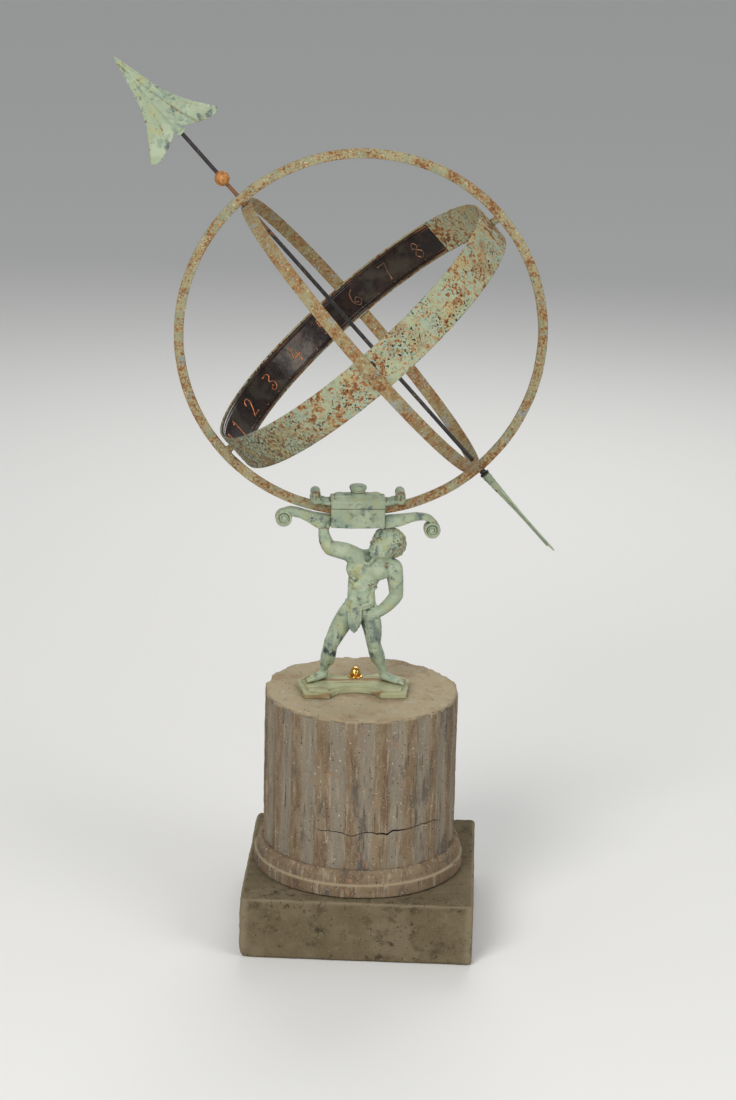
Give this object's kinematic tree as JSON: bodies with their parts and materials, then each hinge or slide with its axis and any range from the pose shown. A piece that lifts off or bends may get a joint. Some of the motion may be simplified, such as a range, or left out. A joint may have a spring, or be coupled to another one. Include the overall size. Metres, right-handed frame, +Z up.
{
  "type": "armillary sphere",
  "caption": "Armillary sundial with hour strip and polar arrow, its rings held up by a bronze man on a fluted stone pedestal.",
  "frame": {"origin": "centre of the plinth's underside, on the ground", "axes": "+Z up, +X to the right seen from the front, +Y away from the front; the meridian ring stands in a plane of X and Z, its pole towards -X and +Z"},
  "size_m": [0.7201, 0.566, 1.4485],
  "materials": {
    "plinth_stone": "matt worn olive-brown stone",
    "drum_stone": "matt eroded beige stone with grey and orange stains",
    "plain_steel": "plain steel",
    "bright_brass": "bright brass",
    "verdigris": "pale verdigris over bronze, rubbed brown on edges",
    "rusty_ring": "mottled rust and pale green",
    "band_patina": "pale blue-green patina with rust blotches",
    "dark_copper": "dark brown polished copper alloy",
    "bright_copper": "rubbed copper",
    "black_iron": "black iron",
    "rusty_ball": "rusty iron"
  },
  "bodies": {
    "pedestal": {"plinth": "plinth_stone", "base_moulding": "drum_stone", "fluted_drum": "drum_stone", "drum_dowel": "plain_steel", "fixing_stud": "bright_brass", "fixing_washer": "bright_brass", "domed_nut": "bright_brass"},
    "bronze": {"base_plate": "verdigris", "foot_screws": "plain_steel", "atlas_figure": "verdigris", "cradle_pins": "plain_steel", "cradle_base": "verdigris", "cradle_cap": "verdigris", "cap_screws": "plain_steel", "scroll_arm_left": "verdigris", "scroll_arm_right": "verdigris"},
    "clamp": {"clamp_screw": "verdigris"},
    "sphere": {"meridian_ring": "rusty_ring", "spacer_pins": "rusty_ring", "equatorial_band": "band_patina", "crossing_rivets": "rusty_ring", "hour_strip": "dark_copper", "strip_rivets": "dark_copper", "hour_numerals": "bright_copper", "hour_dots": "bright_copper", "polar_ring": "rusty_ring", "gnomon_rod": "black_iron", "gnomon_ball": "rusty_ball", "pole_collars": "black_iron", "south_nut": "black_iron", "south_washer": "black_iron", "arrowhead": "verdigris", "arrow_flight": "verdigris"}
  },
  "joints": [
    {"name": "north_setting", "type": "hinge", "parent": "pedestal", "child": "bronze", "pos_m": [-0.01, 0.018, 0.41], "axis": [0, 0, 1], "continuous": true},
    {"name": "latitude_setting", "type": "hinge", "parent": "bronze", "child": "sphere", "pos_m": [-0.014, -0.008, 1.01], "axis": [0, 1, 0], "range_deg": [-13, 12]},
    {"name": "clamp_turn", "type": "hinge", "parent": "bronze", "child": "clamp", "pos_m": [-0.014, -0.008, 0.745], "axis": [0, 0, 1], "range_deg": [0, 270]}
  ]
}
